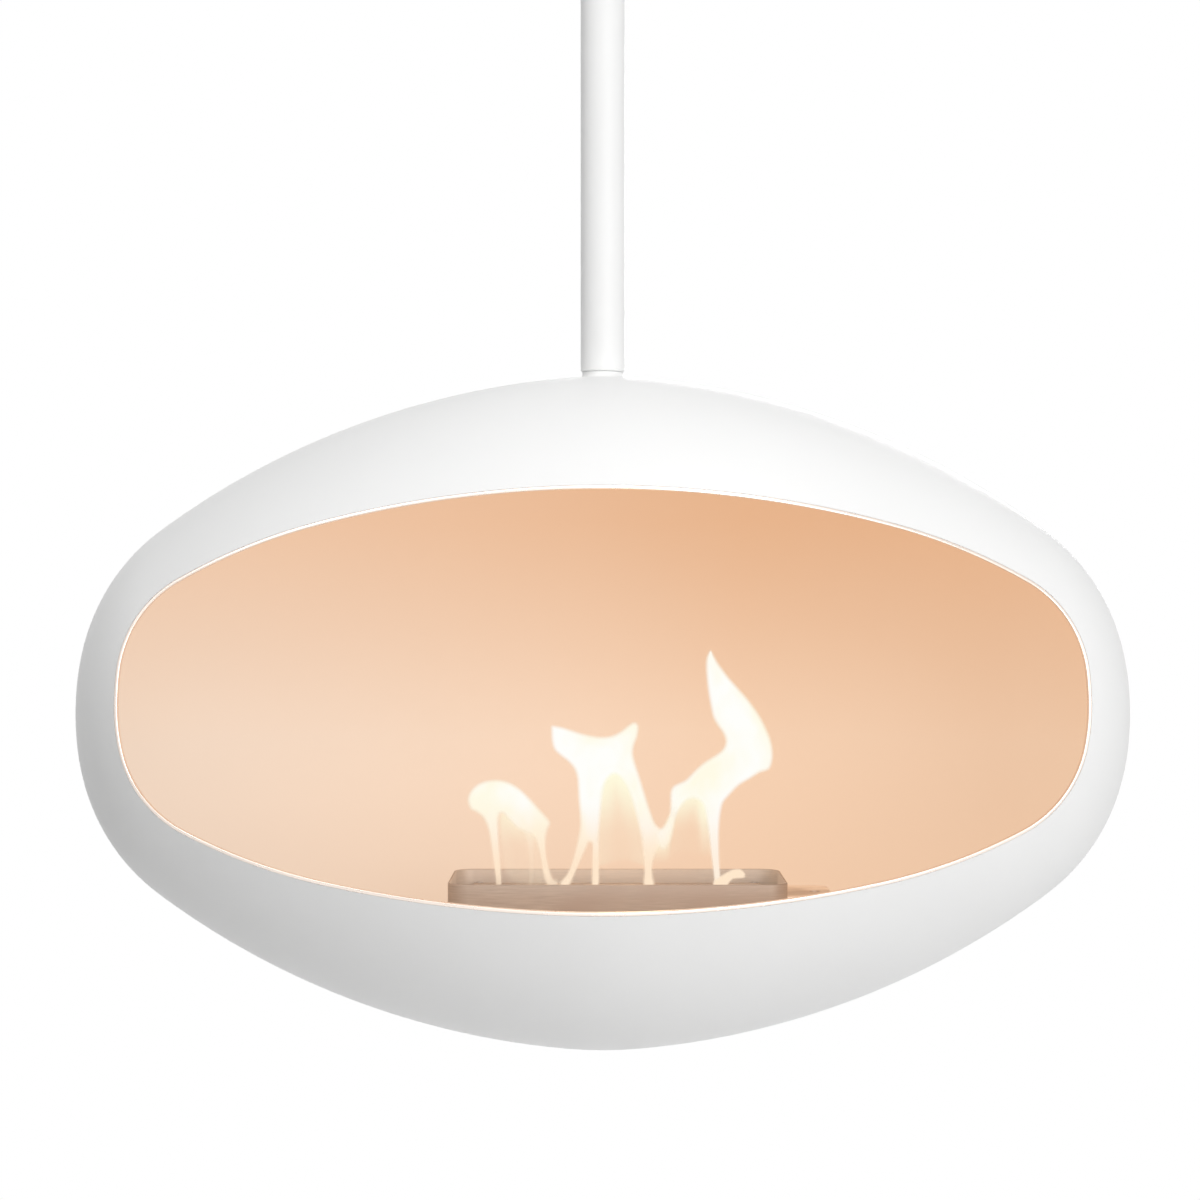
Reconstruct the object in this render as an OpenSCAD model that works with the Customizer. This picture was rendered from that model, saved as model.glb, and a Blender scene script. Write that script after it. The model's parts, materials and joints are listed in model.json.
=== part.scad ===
// Ceiling-hung bioethanol fireplace: a white steel pod with a wide mouth, hung from a
// ceiling plate by a tube, turning on a swivel at its neck. A lift-out burner with a
// sliding damper stands in a cradle inside it.
// Millimetres, +Z up. The origin is the centre of the ceiling plate's top face, and the
// mouth faces -Y.

/* [Pod] */
// Width of the pod, side to side
body_w = 1000; // [900:5:1100]
// Height and depth of the pod, which is round about its long axis
body_h = 642; // [610:2:680]
// Radius of the outline at the top and bottom
crown_r = 400; // [300:10:480]
// Radius of the outline's shoulders, next to the ends
shoulder_r = 190; // [175:1:200]
// Thickness of the pod's steel wall
shell_t = 3; // [2:0.5:4]

/* [Mouth] */
// Width of the mouth, seen from the front
mouth_w = 872; // [800:2:900]
// Height of the mouth's corners above the pod's centre
mouth_z = 14; // [4:1:24]
// Rise of the mouth above its corners
mouth_up = 189; // [180:1:200]
// Drop of the mouth below its corners
mouth_down = 173; // [160:1:176]
// Radius of the mouth's upper edge at its middle
mouth_top_r = 1050; // [950:10:1150]
// Radius of the mouth's lower edge at its middle
mouth_low_r = 1400; // [1300:10:1500]
// Radius of the mouth's corners
mouth_corner_r = 100; // [90:1:106]
// Depth of the rolled edge round the mouth
rim_t = 8; // [4.5:0.5:9]
// Width of the rolled edge round the mouth
rim_w = 3.5; // [3:0.5:8]

/* [Suspension] */
// Drop from the ceiling to the top of the pod
drop = 900; // [600:10:1500]
// Outer diameter of the pole
pole_d = 42.4; // [42:0.1:46]
// Wall thickness of the pole
pole_t = 2.6; // [2:0.1:3]
// Bevel round the pole's lower end
pole_bevel = 1.5; // [0.5:0.1:1.8]
// Diameter of the ceiling plate
plate_d = 150; // [140:1:160]
// Thickness of the ceiling plate
plate_t = 8; // [6:0.5:12]
// Diameter of the ceiling bolt circle
bolt_circle_d = 115; // [110:1:120]
// Diameter of the ceiling bolt holes
bolt_hole_d = 9; // [7:0.5:11]
// Length of the socket that takes the pole
socket_h = 50; // [40:1:60]
// Wall thickness of the socket
socket_t = 6; // [5:0.5:8]
// Diameter of the screws that lock the pole in its socket
lock_screw_d = 6; // [5:0.5:8]

/* [Ceiling cover] */
// Room between the ceiling plate's edge and the outside of the cover
cover_room = 10; // [6:1:20]
// Room between the socket's lower end and the outside of the cover
cover_depth = 8; // [5:1:15]
// Wall thickness of the ceiling cover
cover_t = 1.5; // [1:0.1:2]
// Corner radius of the ceiling cover
cover_r = 12; // [6:1:20]
// Outer diameter of the collar that holds the cover
collar_d = 62; // [60:1:70]
// Height of the collar that holds the cover
collar_h = 12; // [10:1:16]

/* [Swivel] */
// Diameter of the spindle that carries the pod
spindle_d = 16; // [14:0.5:18]
// Length of the plug in the pole's lower end
plug_h = 66; // [64:1:80]
// Height of the bearing seat above the pole's lower end
seat_h = 31; // [29:1:32]
// Wall thickness of the swivel bushes
bush_t = 2; // [1.5:0.25:2.5]
// Length of each swivel bush
bush_h = 12; // [8:1:13]
// Diameter of the upper bush's flange
flange_d = 30; // [29:0.5:31]
// Thickness of the bush flanges
flange_t = 2; // [1.5:0.25:2.5]
// Thickness of the sliding washer
slip_t = 1.5; // [1:0.25:2]
// Thickness of the steel washer
washer_t = 3; // [2:0.25:3.5]
// Width of the spindle nuts across their flats
nut_af = 24; // [23:0.5:25]
// Height of the spindle nut
nut_h = 13; // [11:0.5:13.5]
// Height of the lock nut
lock_nut_h = 8; // [6:0.5:8.5]

/* [Neck] */
// Diameter of the collar between the pole and the pod
neck_d = 39; // [36:0.5:42]
// Height of the gap between the pole and the pod
neck_h = 5; // [4:0.5:8]
// Diameter of the block inside the pod's top
saddle_d = 120; // [110:1:130]
// Thickness of that block at its middle
saddle_t = 16; // [15:0.5:22]
// Diameter of the spindle's foot
foot_d = 74; // [72:1:80]
// Thickness of the spindle's foot
foot_t = 8; // [6:0.5:12]
// Diameter of the bolt circle in the spindle's foot
foot_bolt_circle_d = 50; // [46:1:54]
// Diameter of the bolts in the spindle's foot
foot_bolt_d = 8; // [6:0.5:8]

/* [Burner] */
// Length of the burner
burner_w = 320; // [312:2:360]
// Depth of the burner, front to back
burner_d = 140; // [136:1:150]
// Height of the burner
burner_h = 60; // [54:1:70]
// Corner radius of the burner
burner_r = 20; // [16:1:22]
// Wall thickness of the burner
burner_t = 2; // [1.5:0.25:2.5]
// Place of the burner to the right of the pod's middle
burner_x = 14; // [-20:1:20]
// Depth of the burner's rim below the pod's centre
burner_drop = 159; // [150:1:165]
// Number of slots for the flames
slot_count = 9; // [5:2:9]
// Spacing of the slots
slot_pitch = 29.5; // [28:0.5:30]
// Place of the row of slots to the right of the burner's middle
slot_x = 4.5; // [-6:0.5:6]
// Width of each slot
slot_w = 12; // [8:0.5:12]
// Length of each slot
slot_l = 70; // [50:1:80]
// Thickness of the slotted plate
grate_t = 2; // [1.5:0.25:3]
// Height of the ceramic fibre block
fibre_h = 25; // [15:1:28]
// Thickness of the mesh on the fibre block
mesh_t = 0.8; // [0.5:0.1:1.2]
// Diameter of the posts that carry the slotted plate
post_d = 10; // [8:0.5:10]
// Diameter of the screws in those posts
post_screw_d = 5; // [4:0.5:5]

/* [Damper] */
// Depth of the damper below the burner's rim
damper_drop = 14; // [12:0.5:16]
// Thickness of the damper
damper_t = 2; // [1.5:0.25:2.5]
// Depth of the damper inside the burner, front to back
damper_d = 104; // [96:1:106]
// Width of the damper's tab
tab_w = 96; // [80:1:98]
// Reach of the tab past the burner's end when open
tab_out = 45; // [36:1:60]
// Diameter of the tool hole in the tab
tool_hole_d = 10; // [8:0.5:14]
// Thickness of the guides that hold the damper
guide_t = 1.5; // [1:0.25:2]
// Overlap of the guides on the damper
guide_lip = 6; // [4:0.5:8]
// Height of the grip under the tab's end
grip_h = 8; // [6:0.5:12]

/* [Cradle] */
// Spacing of the cradle's two cheeks
cheek_pitch = 220; // [180:2:240]
// Depth of the cradle's cheeks, front to back
cheek_d = 120; // [100:2:130]
// Thickness of the cradle's sheet steel
cradle_t = 3; // [2:0.5:4]
// Width of the cheeks' feet and of their top flanges
cheek_flange = 22; // [18:1:28]
// Diameter of the round hole in each cheek
cheek_hole_d = 44; // [30:1:50]
// Height of the lips round the cradle's shelf
lip_h = 12; // [8:1:20]
// Length of the notch that each corner of the shelf leaves open
lip_notch = 30; // [24:1:40]
// Diameter of the screws that hold the shelf
shelf_screw_d = 6; // [5:0.5:6]

/* [Hidden] */
$fn = 96;
// Clearances
running_gap = 0.3;   // faces that pass each other
bush_play = 0.05;    // spindle in its bushes, on the radius
loose_gap = 0.5;     // burner in its cradle
hole_play = 0.5;     // bolts and spindle in plain holes, on the radius
pole_play = 0.1;     // pole in its socket, on the radius
cut = 1;             // how far a cutter runs past what it cuts
// Screw heads, as parts of the screw's diameter
hex_head_w = 1.6;
hex_head_h = 0.65;
pan_head_w = 1.7;
pan_head_h = 0.5;
// How far the small screws stand out of what they lock
screw_stand = 1;
// Outlines of arcs that touch: the angles are from the outline's top, in degrees
arc_step = 5;
crown_angle = 5;
flank_angle = 36;
shoulder_angle = 82;
mouth_top_angles = [14, 28, 86];
mouth_low_angles = [10, 24, 77];
POD = [body_w / 2, body_h / 2, crown_r, [crown_angle, flank_angle, shoulder_angle], shoulder_r];
MOUTH_TOP = [mouth_w / 2, mouth_up, mouth_top_r, mouth_top_angles, mouth_corner_r];
MOUTH_LOW = [mouth_w / 2, mouth_down, mouth_low_r, mouth_low_angles, mouth_corner_r];
// Levels, all below the ceiling
pod_top_z = -drop;
pod_z = pod_top_z - body_h / 2;
pole_end_z = pod_top_z + neck_h;
seat_z = pole_end_z + seat_h;
saddle_z = pod_top_z - shell_t - saddle_t;
foot_z = saddle_z - foot_t;
// Swivel
pole_bore_d = pole_d - 2 * pole_t;
bush_d = spindle_d + 2 * (bush_play + bush_t);
relief_d = spindle_d + 2 * bush_t;
chamber_room = 1.5;
chamber_d = flange_d + 2 * chamber_room;
low_flange_step = 3;
low_flange_d = bush_d + 2 * low_flange_step;
slip_z = seat_z + flange_t;
washer_z = slip_z + slip_t;
nut_z = washer_z + washer_t;
lock_nut_z = nut_z + nut_h;
spindle_end = 2;
spindle_top_z = lock_nut_z + lock_nut_h + spindle_end;
foot_bolt_depth = 0.5 * saddle_t;
foot_bolt_head_h = hex_head_h * foot_bolt_d;
// Ceiling
socket_bore_d = pole_d + 2 * pole_play;
socket_d = socket_bore_d + 2 * socket_t;
cover_gap = 1;
cover_d = plate_d + 2 * cover_room;
cover_low_z = -plate_t - socket_h - cover_depth;
cover_h = -cover_gap - cover_low_z;
cover_hole_d = pole_d + 2 * cover_gap;
lock_screw_z = -plate_t - socket_h / 2;
// Burner
rim_z = pod_z - burner_drop;
tray_z = rim_z - burner_h;
damper_z = rim_z - damper_drop - damper_t;
grate_z = damper_z - running_gap - grate_t;
post_inset = 24;
post_room = 2;
post_x = burner_w / 2 - post_inset;
post_y = burner_d / 2 - burner_t - post_room - post_d / 2;
post_head_d = pan_head_w * post_screw_d;
post_head_h = pan_head_h * post_screw_d;
post_screw_h = 12;
damper_travel = slot_pitch / 2;
damper_end_room = 4;
damper_left = -(burner_w / 2 - burner_t - damper_travel - damper_end_room);
damper_wide_room = 10;
damper_wide_end = burner_w / 2 - damper_wide_room;
tab_end = burner_w / 2 + tab_out;
tab_r = 10;
grip_t = 6;
guide_w = burner_d / 2 - burner_t - damper_d / 2 - running_gap - loose_gap;
guide_past_post = 5;
guide_l = 2 * (post_x + guide_past_post);
// Cradle
shelf_z = tray_z - cradle_t;
shelf_w = burner_w + 2 * (loose_gap + cradle_t);
shelf_d = burner_d + 2 * (loose_gap + cradle_t);
shelf_screw_y = 0.3 * cheek_d;
shelf_screw_x = cheek_pitch / 2 - cheek_flange / 2;
shelf_head_h = hex_head_h * shelf_screw_d;

// Unit vector at an angle from +Y, turning towards +X
function ray(angle) = [sin(angle), cos(angle)];

// Radii of the four arcs of an outline: the second and fourth make it reach its width and height
function arc_radii(line) =
    let (
        a = line[0], c = line[1], r1 = line[2], r3 = line[4],
        s = [for (angle = line[3]) sin(angle)],
        k = [for (angle = line[3]) cos(angle)],
        wide = a - r1 * s[0] - r3 * (s[2] - s[1]),
        high = c - r1 * (1 - k[0]) - r3 * (k[1] - k[2]),
        det = (s[1] - s[0]) * k[2] - (1 - s[2]) * (k[0] - k[1])
    )
    [r1, (wide * k[2] - (1 - s[2]) * high) / det,
     r3, ((s[1] - s[0]) * high - (k[0] - k[1]) * wide) / det];

// Centre of arc number i, each on the line through the last arc's end
function arc_centre(line, radii, i) =
    i == 0 ? [0, line[1] - radii[0]]
    : arc_centre(line, radii, i - 1) + (radii[i - 1] - radii[i]) * ray(line[3][i - 1]);

// Points of one quarter of an outline, from its top to its side, drawn in by inset
function quarter_points(line, inset = 0) =
    let (
        radii = arc_radii(line),
        angles = concat([0], line[3], [90])
    )
    concat(
        [for (i = [0:3])
            let (centre = arc_centre(line, radii, i), turn = angles[i + 1] - angles[i],
                 steps = ceil(turn / arc_step))
            for (j = [0:steps - 1]) centre + (radii[i] - inset) * ray(angles[i] + turn * j / steps)],
        [[line[0] - inset, 0]]
    );

// The points from number first to number last, in the other order
function back(points, first, last) = [for (i = [last:-1:first]) points[i]];

// The pod's outline turned about its long axis, drawn in by inset
module pod_solid(inset = 0) {
    quarter = quarter_points(POD, inset);
    translate([0, 0, pod_z]) rotate([0, 90, 0]) rotate_extrude($fn = 180)
        polygon(concat([for (p = quarter) [p[1], p[0]]],
                       [for (p = back(quarter, 1, len(quarter) - 1)) [p[1], -p[0]]]));
}

// The mouth's outline as seen from the front, drawn in by inset
module mouth_outline(inset = 0) {
    low = quarter_points(MOUTH_LOW, inset);
    right = concat(quarter_points(MOUTH_TOP, inset),
                   [for (p = back(low, 0, len(low) - 2)) [p[0], -p[1]]]);
    polygon(concat(right, [for (p = back(right, 1, len(right) - 2)) [-p[0], p[1]]]));
}

// The mouth carried back from the front to the pod's middle
module mouth_prism(inset = 0)
    translate([0, 0, pod_z + mouth_z]) rotate([90, 0, 0])
        linear_extrude(body_h) mouth_outline(inset);

// Rectangle with round corners
module rounded_rectangle(w, d, r) {
    square([w - 2 * r, d], center = true);
    square([w, d - 2 * r], center = true);
    for (x = [-1, 1], y = [-1, 1])
        translate([x * (w / 2 - r), y * (d / 2 - r)]) circle(r);
}

// Inside of the burner's wall, drawn in by gap
module tray_inside(gap = 0)
    rounded_rectangle(burner_w - 2 * (burner_t + gap), burner_d - 2 * (burner_t + gap),
                      burner_r - burner_t - gap);

// The slots for the flames
module flame_slots()
    for (i = [0:slot_count - 1])
        translate([slot_x + (i - (slot_count - 1) / 2) * slot_pitch, 0])
            square([slot_w, slot_l], center = true);

// Places its children at the burner's four posts
module at_posts()
    for (x = [-1, 1], y = [-1, 1]) translate([x * post_x, y * post_y, 0]) children();

// Places its children round a circle
module around(diameter, count, start = 0)
    for (i = [0:count - 1]) rotate(start + i * 360 / count)
        translate([diameter / 2, 0, 0]) children();

module tube(outer_d, inner_d, h) difference() {
    cylinder(d = outer_d, h = h);
    translate([0, 0, -cut]) cylinder(d = inner_d, h = h + 2 * cut);
}

module hexagon(across_flats, h) cylinder(d = across_flats / cos(30), h = h, $fn = 6);

module ceiling_plate() color("gainsboro") difference() {
    translate([0, 0, -plate_t]) cylinder(d = plate_d, h = plate_t);
    around(bolt_circle_d, 4, 45)
        translate([0, 0, -plate_t - cut]) cylinder(d = bolt_hole_d, h = plate_t + 2 * cut);
}

module plate_socket() color("gainsboro") difference() {
    translate([0, 0, -plate_t - socket_h]) tube(socket_d, socket_bore_d, socket_h);
    around(socket_d - socket_t, 4) translate([-socket_t, 0, lock_screw_z])
        rotate([0, 90, 0]) cylinder(d = lock_screw_d, h = 2 * socket_t);
}

module pole_lock_screws() color("dimgray")
    around(pole_d, 4) translate([0, 0, lock_screw_z]) rotate([0, 90, 0])
        cylinder(d = lock_screw_d, h = socket_t + screw_stand);

module pole() color("white") difference() {
    translate([0, 0, pole_end_z]) rotate_extrude() polygon([
        [0, 0], [pole_d / 2 - pole_bevel, 0], [pole_d / 2, pole_bevel],
        [pole_d / 2, -plate_t - pole_end_z], [0, -plate_t - pole_end_z]
    ]);
    translate([0, 0, pole_end_z - cut])
        cylinder(d = pole_bore_d, h = -pole_end_z + cut);
}

module pole_end_plug() color("silver") difference() {
    translate([0, 0, pole_end_z]) cylinder(d = pole_bore_d, h = plug_h);
    translate([0, 0, seat_z]) cylinder(d = chamber_d, h = plug_h);
    translate([0, 0, pole_end_z - cut]) cylinder(d = relief_d, h = plug_h);
    translate([0, 0, seat_z - bush_h]) cylinder(d = bush_d, h = plug_h);
    translate([0, 0, pole_end_z - cut]) cylinder(d = bush_d, h = bush_h + cut);
    translate([0, 0, pole_end_z - cut]) cylinder(d = low_flange_d, h = flange_t + cut);
}

module swivel_bush_upper() color("peru") difference() {
    union() {
        translate([0, 0, seat_z - bush_h]) cylinder(d = bush_d, h = bush_h);
        translate([0, 0, seat_z]) cylinder(d = flange_d, h = flange_t);
    }
    translate([0, 0, seat_z - bush_h - cut])
        cylinder(d = spindle_d + 2 * bush_play, h = bush_h + flange_t + 2 * cut);
}

module swivel_bush_lower() color("peru") difference() {
    union() {
        translate([0, 0, pole_end_z]) cylinder(d = bush_d, h = bush_h);
        translate([0, 0, pole_end_z]) cylinder(d = low_flange_d, h = flange_t);
    }
    translate([0, 0, pole_end_z - cut])
        cylinder(d = spindle_d + 2 * bush_play, h = bush_h + 2 * cut);
}

// Cross-section of the cover: a cup with a round lower corner, drawn in by inset
module cover_section(inset) {
    r = cover_r - inset;
    half = cover_d / 2 - inset;
    low = cover_low_z + inset;
    translate([0, low]) square([half - r, -cover_gap - low]);
    translate([0, low + r]) square([half, -cover_gap - low - r]);
    translate([half - r, low + r]) circle(r);
}

module ceiling_cover() color("white") rotate_extrude() difference() {
    cover_section(0);
    cover_section(cover_t);
    translate([0, cover_low_z - cut]) square([cover_hole_d / 2, cover_h]);
}

module cover_collar() color("white") difference() {
    translate([0, 0, cover_low_z - collar_h])
        tube(collar_d, pole_d + 2 * running_gap, collar_h);
    translate([0, 0, cover_low_z - collar_h / 2]) rotate([-90, 0, 0])
        cylinder(d = lock_screw_d, h = collar_d);
}

module cover_screw() color("dimgray")
    translate([0, pole_d / 2 + running_gap, cover_low_z - collar_h / 2]) rotate([-90, 0, 0])
        cylinder(d = lock_screw_d, h = (collar_d - pole_d) / 2 + screw_stand);

module spindle() color("silver") difference() {
    union() {
        translate([0, 0, foot_z]) cylinder(d = spindle_d, h = spindle_top_z - foot_z);
        translate([0, 0, foot_z]) cylinder(d = foot_d, h = foot_t);
    }
    around(foot_bolt_circle_d, 4, 45) translate([0, 0, foot_z - cut])
        cylinder(d = foot_bolt_d, h = foot_t + 2 * cut);
}

module slip_washer() color("ivory")
    translate([0, 0, slip_z]) tube(flange_d - 2, spindle_d + 2 * bush_play, slip_t);

module spindle_washer() color("silver")
    translate([0, 0, washer_z]) tube(flange_d, spindle_d + 2 * bush_play, washer_t);

module hex_nut(z, h) translate([0, 0, z]) difference() {
    hexagon(nut_af, h);
    translate([0, 0, -cut]) cylinder(d = spindle_d, h = h + 2 * cut);
}

module spindle_nut() color("silver") hex_nut(nut_z, nut_h);

module lock_nut() color("silver") hex_nut(lock_nut_z, lock_nut_h);

module neck_collar() color("white") difference() {
    translate([0, 0, pod_top_z - neck_h])
        cylinder(d = neck_d, h = 2 * neck_h - running_gap);
    pod_solid();
    translate([0, 0, pod_top_z - 2 * neck_h])
        cylinder(d = spindle_d + 2 * hole_play, h = 4 * neck_h);
}

module hanger_saddle() color("silver") difference() {
    intersection() {
        pod_solid(shell_t);
        translate([0, 0, saddle_z]) cylinder(d = saddle_d, h = 2 * saddle_t);
    }
    translate([0, 0, saddle_z - cut])
        cylinder(d = spindle_d + 2 * hole_play, h = 3 * saddle_t);
    around(foot_bolt_circle_d, 4, 45) translate([0, 0, saddle_z - cut])
        cylinder(d = foot_bolt_d, h = foot_bolt_depth + cut);
}

module foot_bolts() color("dimgray")
    around(foot_bolt_circle_d, 4, 45) {
        translate([0, 0, foot_z]) cylinder(d = foot_bolt_d, h = foot_t + foot_bolt_depth);
        translate([0, 0, foot_z - foot_bolt_head_h])
            hexagon(hex_head_w * foot_bolt_d, foot_bolt_head_h);
    }

// The pod's wall with the mouth and the spindle's hole cut out of it
module shell_wall() difference() {
    pod_solid();
    pod_solid(shell_t);
    mouth_prism(-rim_w);
    translate([0, 0, pod_top_z - 5 * shell_t])
        cylinder(d = spindle_d + 2 * hole_play, h = 10 * shell_t);
}

// The half of space above or below the pod's centre
module half_space(up) translate([0, 0, pod_z + (up ? 1 : -1) * body_h / 2])
    cube([1.2 * body_w, 1.2 * body_h, body_h], center = true);

module shell_upper() color("white") intersection() {
    shell_wall();
    half_space(true);
}

module shell_lower() color("white") intersection() {
    shell_wall();
    half_space(false);
}

module mouth_rim() color("white") difference() {
    intersection() {
        pod_solid();
        mouth_prism(-rim_w);
    }
    pod_solid(rim_t);
    mouth_prism();
}

// One cheek of the burner's cradle, with a foot that follows the pod's wall
module cradle_cheek(side) color("silver") {
    x = burner_x + side * cheek_pitch / 2;
    flange_x = side > 0 ? cradle_t / 2 - cheek_flange : -cradle_t / 2;
    low_z = pod_z - body_h / 2;
    difference() {
        union() {
            intersection() {
                translate([x - cradle_t / 2, -cheek_d / 2, low_z])
                    cube([cradle_t, cheek_d, shelf_z - low_z]);
                pod_solid(shell_t);
            }
            intersection() {
                translate([x - cheek_flange / 2, -cheek_d / 2, low_z])
                    cube([cheek_flange, cheek_d, body_h / 4]);
                difference() {
                    pod_solid(shell_t);
                    pod_solid(shell_t + cradle_t);
                }
            }
            translate([x + flange_x, -cheek_d / 2, shelf_z - cradle_t])
                cube([cheek_flange, cheek_d, cradle_t]);
        }
        translate([x - cheek_flange, 0, (shelf_z + low_z) / 2]) rotate([0, 90, 0])
            cylinder(d = cheek_hole_d, h = 2 * cheek_flange);
        shelf_screw_holes();
    }
}

module cradle_cheek_left() cradle_cheek(-1);

module cradle_cheek_right() cradle_cheek(1);

// Places its children at the four screws of the shelf
module at_shelf_screws()
    for (x = [-1, 1], y = [-1, 1])
        translate([burner_x + x * shelf_screw_x, y * shelf_screw_y, shelf_z - cradle_t]) children();

module shelf_screw_holes() at_shelf_screws()
    translate([0, 0, -cut]) cylinder(d = shelf_screw_d, h = 2 * cradle_t + 2 * cut);

module cradle_shelf() color("silver") difference() {
    translate([burner_x - shelf_w / 2, -shelf_d / 2, shelf_z])
        cube([shelf_w, shelf_d, cradle_t + lip_h]);
    translate([burner_x - shelf_w / 2 + cradle_t, -shelf_d / 2 + cradle_t, tray_z])
        cube([shelf_w - 2 * cradle_t, shelf_d - 2 * cradle_t, lip_h + cut]);
    for (x = [-1, 1], y = [-1, 1])
        translate([burner_x + x * shelf_w / 2, y * shelf_d / 2, tray_z + lip_h / 2 + cut])
            cube([2 * lip_notch, 2 * lip_notch, lip_h + 2 * cut], center = true);
    shelf_screw_holes();
}

module shelf_screws() color("dimgray") at_shelf_screws() {
    cylinder(d = shelf_screw_d, h = 2 * cradle_t);
    translate([0, 0, -shelf_head_h]) hexagon(hex_head_w * shelf_screw_d, shelf_head_h);
}

// Places its children on the burner's upright axis
module at_burner(z) translate([burner_x, 0, z]) children();

module burner_tray() color("rosybrown") at_burner(tray_z) difference() {
    linear_extrude(burner_h) rounded_rectangle(burner_w, burner_d, burner_r);
    translate([0, 0, burner_t]) linear_extrude(burner_h) tray_inside();
    translate([burner_w / 2 - 2 * burner_t, -tab_w / 2 - loose_gap,
               damper_z - tray_z - running_gap])
        cube([4 * burner_t, tab_w + 2 * loose_gap, damper_t + 2 * running_gap]);
}

// Outline of the fibre block, cut out round the posts
module fibre_outline() difference() {
    tray_inside(2 * loose_gap);
    at_posts() circle(d = post_d + 2 * hole_play);
}

module fibre_block() color("beige") at_burner(tray_z + burner_t)
    linear_extrude(fibre_h) fibre_outline();

module fibre_mesh() color("gray") at_burner(tray_z + burner_t + fibre_h)
    linear_extrude(mesh_t) fibre_outline();

module plate_posts() color("silver") at_burner(0) at_posts() difference() {
    translate([0, 0, tray_z + burner_t])
        cylinder(d = post_d, h = grate_z - tray_z - burner_t);
    translate([0, 0, grate_z - post_screw_h])
        cylinder(d = post_screw_d, h = post_screw_h + cut);
}

module slotted_plate() color("rosybrown") at_burner(grate_z)
    linear_extrude(grate_t) difference() {
        tray_inside(running_gap);
        flame_slots();
        at_posts() circle(d = post_screw_d);
    }

module post_screws() color("dimgray") at_burner(0) at_posts() {
    translate([0, 0, grate_z - post_screw_h])
        cylinder(d = post_screw_d, h = post_screw_h + grate_t + guide_t);
    translate([0, 0, grate_z + grate_t + guide_t]) cylinder(d = post_head_d, h = post_head_h);
}

// Cross-section of the rear guide: a strip on the plate, a web and a lip over the damper
module guide_section() {
    y = damper_d / 2 + running_gap;
    lip_z = damper_t + 2 * running_gap;
    translate([y, 0]) square([guide_w, guide_t]);
    translate([y, 0]) square([guide_t, lip_z + guide_t]);
    translate([y + guide_t - guide_lip, lip_z]) square([guide_lip, guide_t]);
}

module damper_guides() color("silver") at_burner(grate_z + grate_t)
    for (side = [0, 1]) mirror([0, side]) difference() {
        translate([-guide_l / 2, 0, 0]) rotate([90, 0, 90])
            linear_extrude(guide_l) guide_section();
        for (x = [-1, 1]) translate([x * post_x, post_y, -cut])
            cylinder(d = post_screw_d, h = guide_t + 2 * cut);
    }

module damper_slide() color("wheat") at_burner(damper_z) linear_extrude(damper_t) difference() {
    union() {
        translate([damper_left, -damper_d / 2])
            square([damper_wide_end - damper_left, damper_d]);
        translate([tab_end / 2, 0]) rounded_rectangle(tab_end, tab_w, tab_r);
    }
    flame_slots();
    translate([tab_end - tab_r - tool_hole_d / 2, 0]) circle(d = tool_hole_d);
}

module damper_grip() color("wheat") at_burner(damper_z - grip_h)
    translate([tab_end - grip_t, tab_r - tab_w / 2, 0])
        cube([grip_t, tab_w - 2 * tab_r, grip_h]);

ceiling_plate();
plate_socket();
pole_lock_screws();
pole();
pole_end_plug();
swivel_bush_upper();
swivel_bush_lower();
ceiling_cover();
cover_collar();
cover_screw();
spindle();
slip_washer();
spindle_washer();
spindle_nut();
lock_nut();
neck_collar();
hanger_saddle();
foot_bolts();
shell_upper();
shell_lower();
mouth_rim();
cradle_cheek_left();
cradle_cheek_right();
cradle_shelf();
shelf_screws();
burner_tray();
fibre_block();
fibre_mesh();
plate_posts();
slotted_plate();
post_screws();
damper_guides();
damper_slide();
damper_grip();
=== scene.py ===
# Looks of a ceiling-hung bioethanol fireplace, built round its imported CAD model.
# Metres, +Z up. The origin is the ceiling plate's top face and the mouth faces -Y.
import json
import math
from collections import Counter
import bpy
import numpy as np
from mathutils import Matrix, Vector, geometry


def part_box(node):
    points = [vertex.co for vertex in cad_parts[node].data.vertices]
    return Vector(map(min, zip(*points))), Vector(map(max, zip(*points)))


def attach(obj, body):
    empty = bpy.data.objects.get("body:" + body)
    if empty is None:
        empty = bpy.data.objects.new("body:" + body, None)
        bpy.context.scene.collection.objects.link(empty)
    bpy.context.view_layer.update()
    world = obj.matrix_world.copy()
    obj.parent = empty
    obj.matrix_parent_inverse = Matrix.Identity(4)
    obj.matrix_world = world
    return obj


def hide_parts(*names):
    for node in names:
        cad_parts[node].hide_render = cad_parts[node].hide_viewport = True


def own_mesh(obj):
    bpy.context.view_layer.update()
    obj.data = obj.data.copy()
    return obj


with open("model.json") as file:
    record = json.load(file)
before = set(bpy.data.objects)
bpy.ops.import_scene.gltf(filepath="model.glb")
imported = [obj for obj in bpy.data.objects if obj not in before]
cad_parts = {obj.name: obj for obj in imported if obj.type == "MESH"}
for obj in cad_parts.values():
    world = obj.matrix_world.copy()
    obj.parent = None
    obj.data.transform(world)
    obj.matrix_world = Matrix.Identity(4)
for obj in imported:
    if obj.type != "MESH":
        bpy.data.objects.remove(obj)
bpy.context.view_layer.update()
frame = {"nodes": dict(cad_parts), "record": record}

MM = 0.001

# A number that counts as none, and one beyond all others
TINY = 1e-9
FAR = 1e9

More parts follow.
